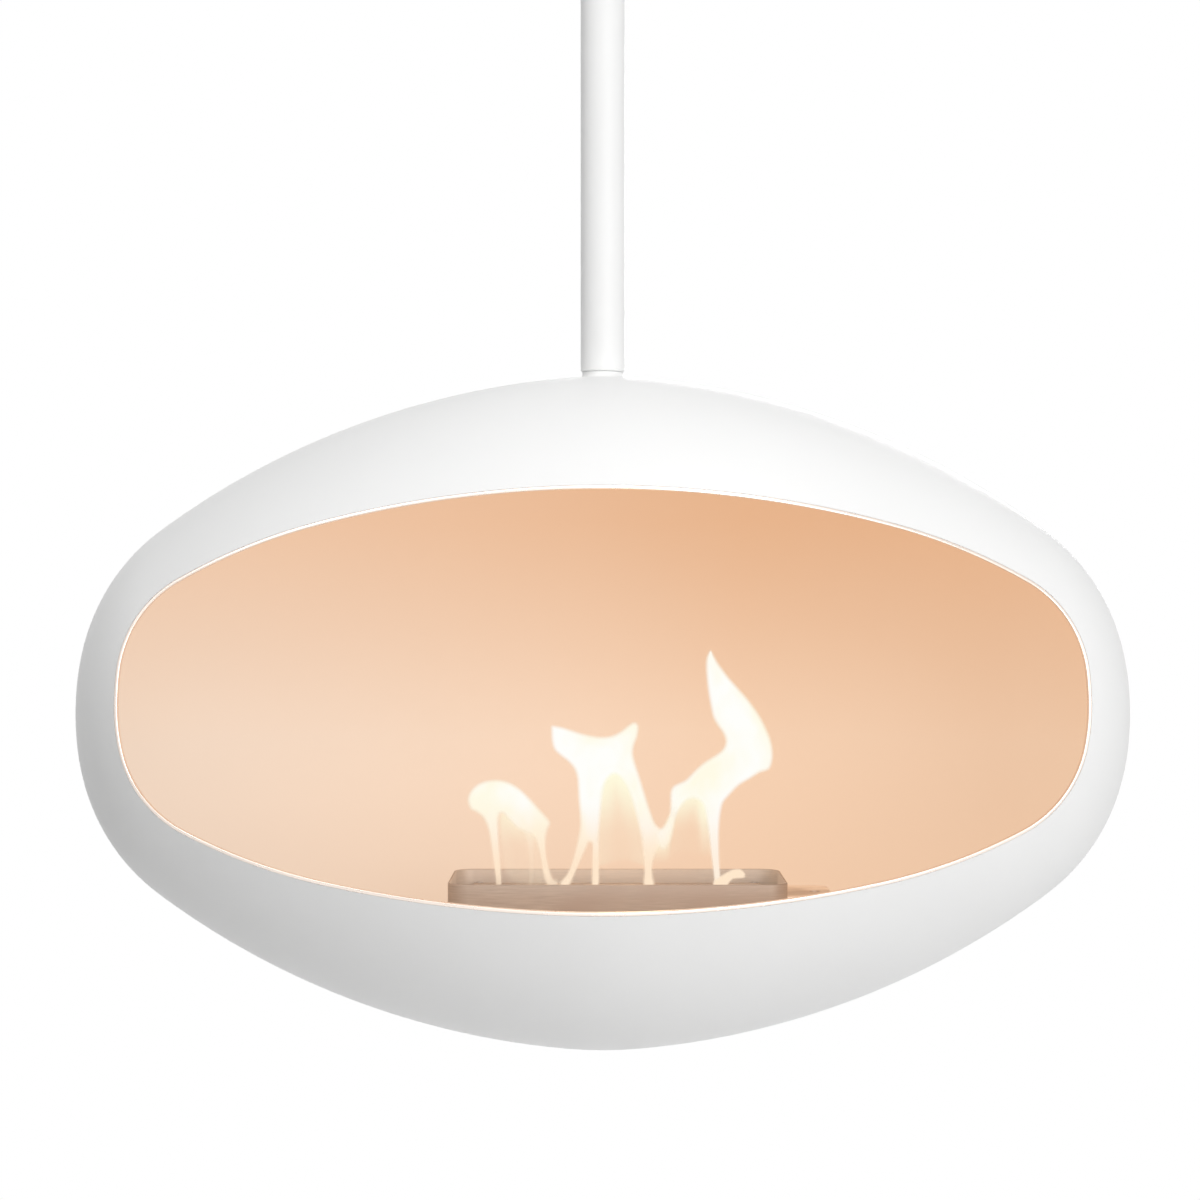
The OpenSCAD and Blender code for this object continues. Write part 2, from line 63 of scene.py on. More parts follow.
# Sizes that the part's source also has, in millimetres
CROWN_R, SHOULDER_R = 400, 190
POD_ANGLES = (5, 36, 82)
SHELL_T = 3
RIM_W, RIM_T = 3.5, 8
MOUTH_W, MOUTH_Z, MOUTH_UP, MOUTH_DOWN = 872, 14, 189, 173
MOUTH_TOP_R, MOUTH_LOW_R, MOUTH_CORNER_R = 1050, 1400, 100
MOUTH_TOP_ANGLES = (14, 28, 86)
MOUTH_LOW_ANGLES = (10, 24, 77)
BURNER_R, BURNER_T = 20, 2
TAB_SLOT = 97

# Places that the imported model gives, in metres
SHELL_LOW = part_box("shell_lower")[0]
SHELL_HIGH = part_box("shell_upper")[1]
POD_HALF_W = SHELL_HIGH.x
POD_TOP = round(SHELL_HIGH.z, 3)
POD_Z = (POD_TOP + SHELL_LOW.z) / 2
POD_HALF_H = POD_TOP - POD_Z
TRAY_LOW, TRAY_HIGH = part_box("burner_tray")
DAMPER_LOW, DAMPER_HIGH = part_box("damper_slide")
WOOL_LOW, WOOL_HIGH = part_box("fibre_mesh")
BURNER_X = (TRAY_LOW.x + TRAY_HIGH.x) / 2


# Meshes

def add_mesh(name, points, faces, sharp=40):
    """A new smooth-shaded object, with edges sharper than an angle left sharp."""
    data = bpy.data.meshes.new(name)
    data.from_pydata([tuple(map(float, p)) for p in points], [], faces)
    data.validate()
    data.shade_smooth()
    data.set_sharp_from_angle(angle=math.radians(sharp))
    obj = bpy.data.objects.new(name, data)
    bpy.context.scene.collection.objects.link(obj)
    return obj


def mark_points(obj, name, values):
    """Gives each point of a mesh a named value, which its material reads."""
    attribute = obj.data.attributes.new(name, "FLOAT", "POINT")
    attribute.data.foreach_set("value", np.asarray(values, np.float32))


def finish_piece(obj, body, material, slot=None, *nodes):
    """Gives a piece its material and its body, and hides the CAD nodes that it stands for. Its slot is not
    used.
    """
    obj.data.materials.append(material)
    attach(obj, body)
    if nodes:
        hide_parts(*nodes)


def ring_faces(first, second, count):
    """Quads between two closed rings of count points, given the number of each ring's first point."""
    return [(first + i, first + (i + 1) % count, second + (i + 1) % count, second + i)
            for i in range(count)]


def lathe(name, profile):
    """Turns a closed profile of (radius, height) points about the part's upright axis."""
    segments = 96
    points = []
    faces = []
    for r, z in profile:
        for i in range(segments):
            a = 2 * math.pi * i / segments
            points.append((r * math.cos(a), r * math.sin(a), z))
    for k in range(len(profile)):
        faces += ring_faces(k * segments, (k + 1) % len(profile) * segments, segments)
    return add_mesh(name, points, faces)


# Outlines made of four arcs that touch, in millimetres, and the spacing of their points

LOOP_SPACING = 9


def ray(degrees):
    """The direction (x, z) at an angle from straight up, turned towards +X."""
    a = math.radians(degrees)
    return np.array([math.sin(a), math.cos(a)])


def outline_arcs(half_w, half_h, top_r, angles, end_r):
    """Centre, radius and angles of each arc from an outline's top to its side. The first and third
    arcs have given radii, and those of the second and fourth follow from the size."""
    sine = [ray(a)[0] for a in angles]
    cosine = [ray(a)[1] for a in angles]
    wide = half_w - top_r * sine[0] - end_r * (sine[2] - sine[1])
    high = half_h - top_r * (1 - cosine[0]) - end_r * (cosine[1] - cosine[2])
    det = (sine[1] - sine[0]) * cosine[2] - (1 - sine[2]) * (cosine[0] - cosine[1])
    second = (wide * cosine[2] - (1 - sine[2]) * high) / det
    fourth = ((sine[1] - sine[0]) * high - (cosine[0] - cosine[1]) * wide) / det
    radii = (top_r, second, end_r, fourth)
    turns = (0, *angles, 90)
    centre = np.array([0, half_h - top_r])
    arcs = []
    for i, r in enumerate(radii):
        if i:
            centre = centre + (radii[i - 1] - r) * ray(turns[i])
        arcs.append((centre, r, turns[i], turns[i + 1]))
    return arcs


POD_ARCS = outline_arcs(POD_HALF_W / MM, POD_HALF_H / MM, CROWN_R, POD_ANGLES, SHOULDER_R)
MOUTH_TOP_ARCS = outline_arcs(MOUTH_W / 2, MOUTH_UP, MOUTH_TOP_R, MOUTH_TOP_ANGLES, MOUTH_CORNER_R)
MOUTH_LOW_ARCS = outline_arcs(MOUTH_W / 2, MOUTH_DOWN, MOUTH_LOW_R, MOUTH_LOW_ANGLES, MOUTH_CORNER_R)


def quarter(arcs, outset):
    """Evenly spaced points from an outline's top to its side, moved out by outset."""
    points = []
    for centre, r, start, end in arcs:
        count = math.ceil(math.radians(end - start) * r / LOOP_SPACING)
        points += [centre + (r + outset) * ray(start + (end - start) * i / count) for i in range(count)]
    centre, r, _, end = arcs[-1]
    points.append(centre + (r + outset) * ray(end))
    return np.array(points)


def mouth_loop(outset):
    """Points round the mouth as seen from the front, (x, z) from the pod's centre, moved out by outset."""
    top = quarter(MOUTH_TOP_ARCS, outset)
    low = quarter(MOUTH_LOW_ARCS, outset) * (1, -1)
    right = np.concatenate([top, low[-2::-1]])
    left = right[-2:0:-1] * (-1, 1)
    return np.concatenate([right, left]) + (0, MOUTH_Z)


def pod_radius(x, inset):
    """Radius of the pod about its long axis at x, for its surface moved in by inset."""
    x = np.abs(x)
    found = np.zeros_like(x)
    for centre, r, start, end in POD_ARCS:
        r = r - inset
        low, high = centre[0] + r * ray(start)[0], centre[0] + r * ray(end)[0]
        here = (x >= low - TINY) & (x <= high + TINY)
        found[here] = centre[1] + np.sqrt(np.maximum(r * r - (x[here] - centre[0]) ** 2, 0))
    return found


def front_points(loop, inset):
    """Points of the pod's front surface, moved in by inset, behind a loop of (x, z) points."""
    x, z = loop[:, 0], loop[:, 1]
    y = -np.sqrt(pod_radius(x, inset) ** 2 - z * z)
    return np.stack([x, y, z], axis=1)


def pod_reach(directions, inset):
    """How far the pod's surface, moved in by inset, is from its centre along each direction."""
    side = np.abs(directions[:, 0])
    away = np.hypot(directions[:, 1], directions[:, 2])
    least = np.full(len(side), FAR)
    reach = np.zeros(len(side))
    for centre, r, start, end in POD_ARCS:
        r = r - inset
        along = side * centre[0] + away * centre[1]
        met = along + np.sqrt(np.maximum(along ** 2 - centre @ centre + r * r, 0))
        turn = np.degrees(np.arctan2(met * side - centre[0], met * away - centre[1]))
        miss = np.maximum(start - turn, turn - end)
        better = miss < least
        least[better] = miss[better]
        reach[better] = met[better]
    return reach


def in_frame(points):
    """From millimetres about the pod's centre to the part's own metres."""
    return points * MM + np.array([0, 0, POD_Z])


# The pod

# The rings of points from the mouth to the back, on the faces that show and on those hidden in the wall
SKIN_ROWS, LINING_ROWS, HIDDEN_ROWS = 96, 72, 24

# How deep in the wall the hidden faces of its two layers lie
SKIN_BACK, LINING_BACK = 0.6 * SHELL_T, 0.65 * SHELL_T


def surface_rows(edge, inset, rows):
    """Rings of points from the mouth's edge over the pod's surface, and the middle of its back."""
    length = np.linalg.norm(edge, axis=1)
    start = np.arccos(-edge[:, 1] / length)
    around = np.arctan2(edge[:, 2], edge[:, 0])
    rings = [edge]
    for i in range(1, rows):
        tilt = start + (math.pi - start) * i / rows
        directions = np.stack([np.sin(tilt) * np.cos(around), -np.cos(tilt),
                               np.sin(tilt) * np.sin(around)], axis=1)
        rings.append(directions * pod_reach(directions, inset)[:, None])
    pole = np.array([[0, pod_reach(np.array([[0.0, 1, 0]]), inset)[0], 0]])
    return rings, pole


def shell_layer(name, outset, shown, hidden, shown_rows, hidden_rows):
    """A closed layer of the pod's wall between a shown and a hidden inset, with a hole at the mouth."""
    loop = mouth_loop(outset)
    count = len(loop)
    points = []
    faces = []
    for inset, rows, flip in ((shown, shown_rows, shown > hidden), (hidden, hidden_rows, shown < hidden)):
        rings, pole = surface_rows(front_points(loop, inset), inset, rows)
        first = sum(len(p) for p in points)
        points += [*rings, pole]
        new = []
        for k in range(rows - 1):
            new += ring_faces(first + k * count, first + (k + 1) * count, count)
        last = first + (rows - 1) * count
        new += [(last + i, last + (i + 1) % count, last + count) for i in range(count)]
        faces += [f[::-1] for f in new] if flip else new
    edge = ring_faces(0, shown_rows * count + 1, count)
    faces += edge if shown > hidden else [f[::-1] for f in edge]
    return add_mesh(name, in_frame(np.concatenate(points)), faces)


def rounded_section(width, depth, near_r, far_r, steps):
    """Corners of a rounded rectangle, near_r at width 0 and far_r at full width, as (out, in) pairs."""
    corners = ((near_r, near_r, near_r, 180, 270), (width - far_r, far_r, far_r, 270, 360),
               (width - far_r, depth - far_r, far_r, 0, 90), (near_r, depth - near_r, near_r, 90, 180))
    section = []
    for w, t, r, start, end in corners:
        for i in range(steps + 1):
            a = math.radians(start + (end - start) * i / steps)
            section.append((w + r * math.cos(a), t + r * math.sin(a)))
    return section


def mouth_bead(name):
    """The rolled edge round the mouth."""
    points = []
    faces = []
    section = rounded_section(RIM_W, RIM_T, near_r=2.2, far_r=0.6, steps=6)
    for w, t in section:
        points.append(front_points(mouth_loop(w), t))
    count = len(points[0])
    for k in range(len(section)):
        faces += ring_faces(k * count, (k + 1) % len(section) * count, count)
    return add_mesh(name, in_frame(np.concatenate(points)), faces, sharp=60)


def neck_ring(name):
    """The collar between the pole and the pod, with a fillet that runs out on the pod's top."""
    low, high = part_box("neck_collar")
    r = high.x
    bore = 0.0085
    fillet = 0.0035
    edge = 0.0004
    sunk = 0.0004
    foot = low.z - 0.0006
    steps = 8
    profile = [(bore, high.z), (r - edge, high.z), (r, high.z - edge)]
    for i in range(steps + 1):
        a = math.radians(90 * i / steps)
        profile.append((r + fillet * (1 - math.cos(a)), POD_TOP + fillet * (1 - math.sin(a)) - sunk))
    profile += [(r + fillet, foot), (bore, foot)]
    return lathe(name, profile[::-1])


# The burner

def rounded_loop(half_x, half_y, r, slot_half):
    """Points round a rectangle with round corners, from the slot's near end on its +X side."""
    steps = 8
    points = [(half_x, -slot_half), (half_x, slot_half), (half_x, half_y - r)]
    for cx, cy, start in ((1, 1, 0), (-1, 1, 90), (-1, -1, 180), (1, -1, 270)):
        for i in range(1, steps + 1):
            a = math.radians(start + 90 * i / steps)
            points.append((cx * (half_x - r) + r * math.cos(a), cy * (half_y - r) + r * math.sin(a)))
        if cx * cy > 0:
            points.append((-cx * (half_x - r), cy * half_y))
        elif cx < 0:
            points.append((-half_x, -(half_y - r)))
    return points


def burner_tray(name):
    """The deep tray: a pressed bottom, a rolled rim and a slot for the damper's tab."""
    half_x = (TRAY_HIGH.x - TRAY_LOW.x) / 2
    half_y = TRAY_HIGH.y
    wall = BURNER_T * MM
    foot_r, dish_r, rim_r = 0.004, 0.003, wall / 2
    slot_gap = 0.0003
    slot_low, slot_high = DAMPER_LOW.z - slot_gap, DAMPER_HIGH.z + slot_gap
    profile = [(foot_r * (1 - math.sin(a)), TRAY_LOW.z + foot_r * (1 - math.cos(a)))
               for a in np.radians([0, 22.5, 45, 67.5, 90])]
    profile += [(0, slot_low), (0, slot_high)]
    outer_slot = len(profile) - 2
    profile += [(rim_r * (1 - math.cos(a)), TRAY_HIGH.z - rim_r * (1 - math.sin(a)))
                for a in np.radians([0, 30, 60, 90, 120, 150, 180])]
    first_inside = len(profile) - 2
    profile += [(wall, slot_high), (wall, slot_low)]
    inner_slot = len(profile) - 2
    profile += [(wall + dish_r * (1 - math.cos(a)), TRAY_LOW.z + wall + dish_r * (1 - math.sin(a)))
                for a in np.radians([0, 30, 60, 90])]
    points = []
    faces = []
    for inset, z in profile:
        loop = rounded_loop(half_x - inset, half_y - inset, BURNER_R * MM - inset, TAB_SLOT * MM / 2)
        points += [(BURNER_X + x, y, z) for x, y in loop]
    count = len(loop)
    for k in range(len(profile) - 1):
        row = ring_faces(k * count, (k + 1) * count, count)
        faces += row[1:] if k in (outer_slot, inner_slot) else row
    outer_low, outer_high = outer_slot * count, (outer_slot + 1) * count
    inner_high, inner_low = inner_slot * count, (inner_slot + 1) * count
    faces += [
        (outer_low, outer_low + 1, inner_low + 1, inner_low),
        (outer_high + 1, outer_high, inner_high, inner_high + 1),
        (outer_low, inner_low, inner_high, outer_high),
        (outer_low + 1, outer_high + 1, inner_high + 1, inner_low + 1),
    ]
    faces.append(tuple(range(count))[::-1])
    last = (len(profile) - 1) * count
    faces.append(tuple(range(last, last + count)))
    obj = add_mesh(name, points, faces, sharp=50)
    mark_points(obj, "inside", np.repeat([float(k >= first_inside) for k in range(len(profile))], count))
    return obj


def wire_mesh(name):
    """Two layers of crossed wires on the ceramic wool. The outer ones stop short of the posts."""
    wire = (WOOL_HIGH.z - WOOL_LOW.z) / 2
    pitch = 0.0035
    corners = 6
    margin = 0.006
    post = 0.018
    points = []
    faces = []

    def add_wire(start, end):
        up = Vector((0, 0, 1))
        across = (end - start).normalized().cross(up)
        first = len(points)
        for p in (start, end):
            for i in range(corners):
                a = 2 * math.pi * i / corners
                points.append(p + wire / 2 * (math.cos(a) * across + math.sin(a) * up))
        faces.extend(ring_faces(first + corners, first, corners))
        faces.append(tuple(range(first, first + corners)))
        faces.append(tuple(range(first + corners, first + 2 * corners))[::-1])

    x0, x1 = WOOL_LOW.x + margin, WOOL_HIGH.x - margin
    y0, y1 = WOOL_LOW.y + margin, WOOL_HIGH.y - margin
    low, high = WOOL_LOW.z + wire / 2, WOOL_HIGH.z - wire / 2
    for i in range(int((x1 - x0) / pitch) + 1):
        x = x0 + i * pitch
        cut = post if x - x0 < post or x1 - x < post else 0
        add_wire(Vector((x, y0 + cut, low)), Vector((x, y1 - cut, low)))
    for i in range(int((y1 - y0) / pitch) + 1):
        y = y0 + i * pitch
        cut = post if y - y0 < post or y1 - y < post else 0
        add_wire(Vector((x0 + cut, y, high)), Vector((x1 - cut, y, high)))
    return add_mesh(name, points, faces)


# The flames, in millimetres from the pod's centre

# Where the flames start
FLAME_FOOT = -188

# A sheet's points: their spacing inside it, how far they stay from its edge, and how near is on its edge
FLAME_PITCH = 2.5
INNER_GAP = 0.6 * FLAME_PITCH
ON_LOOP = 1e-3

# An edge's points: how many for each point of the outline, the least width measured between them, how far
# a moved one stays from the old edge as a share of its shift, and the rounds that split chords between them
CURVE_STEPS = 4
LEAST_WIDTH = 0.5
KEPT_SHARE = 0.85
CHORD_ROUNDS = 6

# How far in from its edge a flame is rounded and fades, and how far that edge lies outside its outline
FLAME_ROUND = 22
FLAME_SOFT = 6.5
FLAME_OUTSET = 0.8

# A flame's denser core: its inset, the most as a share of the width, its depth as a share and its glow
CORE_INSET = 4.5
CORE_SHARE = 0.25
CORE_DEPTH = 0.85
CORE_GLOW = 0.65

# The radius of a flame's fainter place and the glow left in it, and how far and how much a veil weakens
THIN_R = 15
THIN_SHARE = 0.4
VEIL_REACH = 14
VEIL_FLOOR = 0.5

# The height over which a flame's sway sets in, and the height in which its wave turns by a radian
SWAY_START = 60
SWAY_LENGTH = 62

# Outlines as seen from the front, (x, z), through which smooth curves run
LEFT_FLAME = [
    (-131, -86), (-128, -77), (-121, -70), (-112, -66.5), (-101, -65.5), (-90, -68), (-80, -74),
    (-70, -83.5), (-60, -94.5), (-52, -103.5), (-49.5, -108.5), (-51.5, -113), (-53.5, -121), (-54, -132),
    (-53, -142), (-50, -153), (-46.5, -160), (-41, -163.5), (-41, FLAME_FOOT), (-48, FLAME_FOOT),
    (-56.5, -167), (-58.5, -158), (-60, -146), (-62.5, -134), (-67, -122), (-73, -118.5), (-82, -114.5),
    (-91, -105.5), (-97, -99.5), (-99.5, -105), (-99.3, -125), (-98, -140), (-97, -155), (-96, -168),
    (-96, FLAME_FOOT), (-103, FLAME_FOOT), (-104, -165), (-105.5, -150), (-107.5, -137), (-109.5, -124),
    (-112, -112), (-116.5, -103), (-122, -98.5), (-128, -95),
]
MIDDLE_FLAME = [
    (-49.5, -13), (-41, -13.5), (-30, -16.8), (-20, -20), (-10, -22.2), (0, -23.3), (9, -22), (17, -18),
    (24, -12.5), (29, -9.5), (33.5, -10.5), (35.2, -15), (34, -24), (31, -32), (30, -40), (32, -49),
    (35.5, -60), (39.5, -73), (43.5, -86), (47.5, -98), (51, -107), (55.5, -112), (57, -119), (55.5, -129),
    (51, -139), (49, -148), (49, -158), (51, -167), (50, FLAME_FOOT), (43, FLAME_FOOT), (38, -167),
    (39, -155), (38, -142), (36.5, -126), (33.5, -110), (30, -96), (26, -82), (20, -69), (12, -61),
    (4.5, -67), (1, -80), (-1, -98), (-2, -115), (-2.5, -135), (-2.5, -166), (-6, FLAME_FOOT),
    (-11, FLAME_FOOT), (-11.5, -166), (-11, -140), (-11, -122), (-14, -130), (-18, -138.5), (-22, -147.5),
    (-26, -156.5), (-30, -167), (-36, FLAME_FOOT), (-41.5, FLAME_FOOT), (-42.5, -166), (-39.5, -161),
    (-35, -156), (-31.7, -149), (-28.8, -139.5), (-26.4, -130), (-24.5, -121), (-22.9, -112),
    (-22.8, -102), (-24, -86), (-24.7, -73), (-25.5, -63), (-28.5, -54.5), (-34, -48), (-41, -42.5),
    (-47, -36.5), (-49.5, -28), (-50, -20),
]
RIGHT_FLAME = [
    (104.3, 59.5), (108, 54), (112, 47), (117, 40), (123, 32), (130.5, 23.5), (139, 14), (147, 3.5),
    (153, -6), (158, -16), (162, -26), (164, -36), (164, -45), (162, -53), (158.5, -57), (151, -59.5),
    (141, -65.5), (131, -71.5), (123, -79.5), (116.5, -87), (114.3, -95), (113, -105), (112.3, -119),
    (112.6, -135), (113.4, -150), (114, -160), (113.5, -170), (112, FLAME_FOOT), (106.5, FLAME_FOOT),
    (106.5, -165), (105, -152), (103, -137), (101, -120), (99, -105), (96.5, -92), (91.5, -85.5), (85, -84),
    (79, -87.5), (74, -96), (70.5, -107), (67.5, -118), (64, -127), (58, -133), (52, -127), (50, -117),
    (53.5, -111.5), (57, -109.5), (60.4, -104), (62.8, -96), (63.6, -88), (64, -78), (66.5, -71.5),
    (72.5, -68), (79, -65), (84, -60), (90, -54), (96, -48.8), (103, -44.3), (110, -40), (115, -35.5),
    (117, -31), (117, -26.5), (114.5, -20.5), (110.5, -15), (106, -7), (103.8, 2), (102, 12),
    (100.5, 22), (99.5, 32), (98.9, 42), (99.8, 52),
]
WISP = [(106, -174), (107, -161), (113, -158), (117, -155.5), (124, -152), (131.5, -151), (136, -154.5),
        (137.5, -159), (133, -160.3), (126, -161), (121, -165.5), (119, -174)]
LEFT_VEIL = [(-101, -98), (-90, -98), (-80, -108), (-68, -114), (-58, -116), (-57, -136), (-54, -160),
             (-58, -172), (-80, -172), (-92, -162), (-97, -150), (-101, -125)]
LEFT_TONGUE = [(-80, -108), (-64, -112), (-65, -130), (-65.5, -150), (-66, -168), (-68, FLAME_FOOT),
               (-72, FLAME_FOOT), (-72.5, -168), (-72, -150), (-74, -130)]
MIDDLE_VEIL = [(-4, -44), (14, -40), (26, -56), (34, -86), (40, -112), (43, -138), (41, -150), (20, -146),
               (-5, -150), (-7, -130), (-6, -90)]
VALLEY_VEIL = [(36, -96), (46, -98), (54.5, -112), (61, -101), (70, -92), (71, -108), (68, -126), (66, -146),
               (54, -154), (42, -150), (38, -126)]
RIGHT_VEIL = [(66, -80), (80, -72), (96, -74), (106, -84), (106, -110), (107, -136), (96, -142),
              (78, -140), (62, -146), (62, -120)]
LEG_VEIL = [(90, -84), (104, -86), (110, -100), (110, -130), (111, -150), (101, -152), (94, -146),
            (90, -120)]


def smooth_loop(points):
    """A closed Catmull-Rom curve through points."""
    p = np.array(points, float)
    before, after, beyond = np.roll(p, 1, 0), np.roll(p, -1, 0), np.roll(p, -2, 0)
    curve = []
    for i in range(CURVE_STEPS):
        t = i / CURVE_STEPS
        curve.append(0.5 * (2 * p + (after - before) * t + (2 * before - 5 * p + 4 * after - beyond) * t * t
                            + (3 * p - before - 3 * after + beyond) * t ** 3))
    return np.stack(curve, axis=1).reshape(-1, 2)


def sides(loop):
    """The start of each side of a closed loop, and its whole length as a direction."""
    return zip(loop, np.roll(loop, -1, 0) - loop)


def edge_distance(points, loop):
    """Distance of each point to the nearest side of a closed loop."""
    best = np.full(len(points), FAR)
    for start, along in sides(loop):
        t = np.clip(((points - start) @ along) / (along @ along), 0, 1)
        best = np.minimum(best, np.linalg.norm(points - start - t[:, None] * along, axis=1))
    return best


def inward_directions(loop):
    """The direction into a closed loop at each of its points."""
    along = np.roll(loop, -1, 0) - np.roll(loop, 1, 0)
    inward = np.stack([along[:, 1], -along[:, 0]], axis=1) / np.linalg.norm(along, axis=1)[:, None]
    area = np.sum(loop[:, 0] * np.roll(loop[:, 1], -1) - np.roll(loop[:, 0], -1) * loop[:, 1])
    return -inward if area > 0 else inward


def widths(loop, inward):
    """How far it is from each point of a closed loop straight across to its other side."""
    across = np.full(len(loop), FAR)
    for start, along in sides(loop):
        det = inward[:, 0] * along[1] - inward[:, 1] * along[0]
        det[np.abs(det) < TINY] = TINY
        apart = start - loop
        reach = (apart[:, 0] * along[1] - apart[:, 1] * along[0]) / det
        place = (apart[:, 0] * inward[:, 1] - apart[:, 1] * inward[:, 0]) / det
        met = (reach > LEAST_WIDTH) & (place >= 0) & (place <= 1)
        across[met] = np.minimum(across[met], reach[met])
    return across


def moved_loop(loop, inward, shift):
    """A closed loop with each point moved inward by its shift, less the points that come too near
    another part of the loop."""
    moved = loop + shift[:, None] * inward
    return moved[edge_distance(moved, loop) > KEPT_SHARE * np.abs(shift)]


def core_loop(loop, distance):
    """A closed loop moved in by distance, or by less where the loop is narrow."""
    inward = inward_directions(loop)
    return moved_loop(loop, inward, np.minimum(distance, CORE_SHARE * widths(loop, inward)))


def crossing_sides(loop):
    """The numbers of the first two sides of a closed loop that cross, or None. Neighbours don't count."""
    ends = [Vector(p) for p in loop] + [Vector(loop[0])]
    for i in range(len(loop) - 2):
        for j in range(i + 2, len(loop) - (i == 0)):
            if geometry.intersect_line_line_2d(ends[i], ends[i + 1], ends[j], ends[j + 1]):
                return i, j
    return None


def without_knots(loop):
    """A closed loop without the small turns in which it crosses itself."""
    crossing = crossing_sides(loop)
    while crossing:
        i, j = crossing
        loop = np.concatenate([loop[:i + 1], loop[j + 1:]]) if j - i < len(loop) / 2 else loop[i + 1:j + 1]
        crossing = crossing_sides(loop)
    return loop


def fill_loop(loop, inner):
    """The points and triangles that fill a closed loop and meet at the inner points."""
    inside_only, nearness = 1, 1e-5
    coords = [Vector(p) for p in np.concatenate([loop, inner])]
    filled = geometry.delaunay_2d_cdt(coords, [], [list(range(len(loop)))], inside_only, nearness)
    points, triangles = filled[0], filled[2]
    used = sorted({i for f in triangles for i in f})
    renumber = {old: new for new, old in enumerate(used)}
    return np.array([tuple(v) for v in points])[used], [tuple(renumber[i] for i in f) for f in triangles]


def chord_middles(points, triangles, on_loop):
    """The middle of each edge between two triangles that runs from side to side of their loop."""
    edges = Counter(tuple(sorted((f[i - 1], f[i]))) for f in triangles for i in range(3))
    return [(points[a] + points[b]) / 2 for (a, b), faces in edges.items()
            if faces == 2 and on_loop[a] and on_loop[b]]


def flame_sheet(loop, depth):
    """A closed sheet in a loop's shape, up to depth thick to the front and back of it: its points,
    its faces and the distance of each point to the loop."""
    loop = without_knots(loop)
    low, high = loop.min(0), loop.max(0)
    inner = np.array([(x, z) for x in np.arange(low[0], high[0], FLAME_PITCH)
                      for z in np.arange(low[1], high[1], FLAME_PITCH)])
    inner = inner[edge_distance(inner, loop) > INNER_GAP]
    for _ in range(CHORD_ROUNDS):
        points, triangles = fill_loop(loop, inner)
        inside = edge_distance(points, loop)
        middles = chord_middles(points, triangles, inside < ON_LOOP)
        if not middles:
            break
        inner = np.concatenate([inner, middles])
    half = depth * (1 - (1 - np.clip(inside / FLAME_ROUND, 0, 1)) ** 2)
    solid = [(x, -h, z) for (x, z), h in zip(points, half)]
    distance = list(inside)
    back_number = {}
    for i, ((x, z), h) in enumerate(zip(points, half)):
        if inside[i] < ON_LOOP:
            back_number[i] = i
        else:
            back_number[i] = len(solid)
            solid.append((x, h, z))
            distance.append(inside[i])
    faces = []
    for triangle in triangles:
        a, b, c = (Vector(points[i]) for i in triangle)
        front = triangle if (b - a).cross(c - a) > 0 else triangle[::-1]
        faces.append(front)
        faces.append(tuple(back_number[i] for i in front)[::-1])
    return np.array(solid), faces, np.array(distance)


def flame_piece(name, outline, material, depth, soft, sway, centre_y=0, core=0, beside=None, thin=None):
    """A flame or a veil of fire in the outline's shape. sway is how far it swings front to back and
    the phase at its foot. Its attribute glow runs from 0 at its edge to 1 at soft millimetres inside
    it. A flame has a denser core, whose edge is core millimetres inside its own. A veil is brighter
    beside the outline of its flame. thin is the place (x, z) where a flame is fainter."""
    loop = smooth_loop(outline)
    if core:
        loop = moved_loop(loop, inward_directions(loop), np.full(len(loop), -FLAME_OUTSET))
    points, faces, distance = flame_sheet(loop, depth)
    glow = np.clip(distance / soft, 0, 1)
    if core:
        inner, inner_faces, _ = flame_sheet(core_loop(loop, core), CORE_DEPTH * depth)
        faces += [tuple(i + len(points) for i in f) for f in inner_faces]
        points = np.concatenate([points, inner])
        glow = np.concatenate([glow, np.full(len(inner), CORE_GLOW)])
    if beside:
        away = edge_distance(points[:, (0, 2)], smooth_loop(beside))
        glow = glow * (1 - (1 - VEIL_FLOOR) * np.clip(away / VEIL_REACH, 0, 1))
    if thin:
        away = np.linalg.norm(points[:, (0, 2)] - np.array(thin), axis=1)
        glow = glow * (1 - (1 - THIN_SHARE) * np.exp(-(away / THIN_R) ** 2))
    swing, phase = sway
    height = points[:, 2] - FLAME_FOOT
    loose = np.clip(height / SWAY_START, 0, 1)
    points[:, 1] += centre_y + swing * np.sin(height / SWAY_LENGTH + phase) * loose
    obj = add_mesh(name, in_frame(points), faces, sharp=180)
    mark_points(obj, "glow", glow)
    obj.visible_shadow = False
    finish_piece(obj, "burner", material)
    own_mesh(obj)


# Materials

COAT_COLOR = (0.865, 0.865, 0.860)
# The mouth's edge, tinted warm to paint the fire's light on it
RIM_COLOR_WITH_PAINTED_FIRELIGHT = (0.85, 0.75, 0.675)
# The lining's dark base colour, under its painted firelight
LINING_COLOR = (0.27, 0.235, 0.20)
TRAY_COLOR = (0.44, 0.358, 0.296)
TRAY_TINT = (0.40, 0.31, 0.253)
# The fire's light painted as emission on the tray's inside faces
TRAY_PAINTED_FIRELIGHT = (0.12, 0.10, 0.08)
DAMPER_COLOR = (0.94, 0.85, 0.76)
WIRE_COLOR = (0.42, 0.39, 0.36)
WIRE_TINT = (0.30, 0.22, 0.17)
BRIGHT_STEEL_COLOR = (0.66, 0.66, 0.68)
BRONZE_COLOR = (0.52, 0.32, 0.13)
ZINC_COLORS = ((0.59, 0.60, 0.63), (0.62, 0.63, 0.66), (0.65, 0.66, 0.68))
WOOL_COLORS = ((0.66, 0.62, 0.55), (0.83, 0.80, 0.73), (0.88, 0.86, 0.80))
SOOT_COLOR = (0.42, 0.36, 0.30)
PLASTIC_COLORS = ((0.76, 0.74, 0.66), (0.80, 0.78, 0.71), (0.84, 0.82, 0.76))
FLOOR_COLOR = (0.72, 0.72, 0.72)
FLOOR_FILL = 0.62
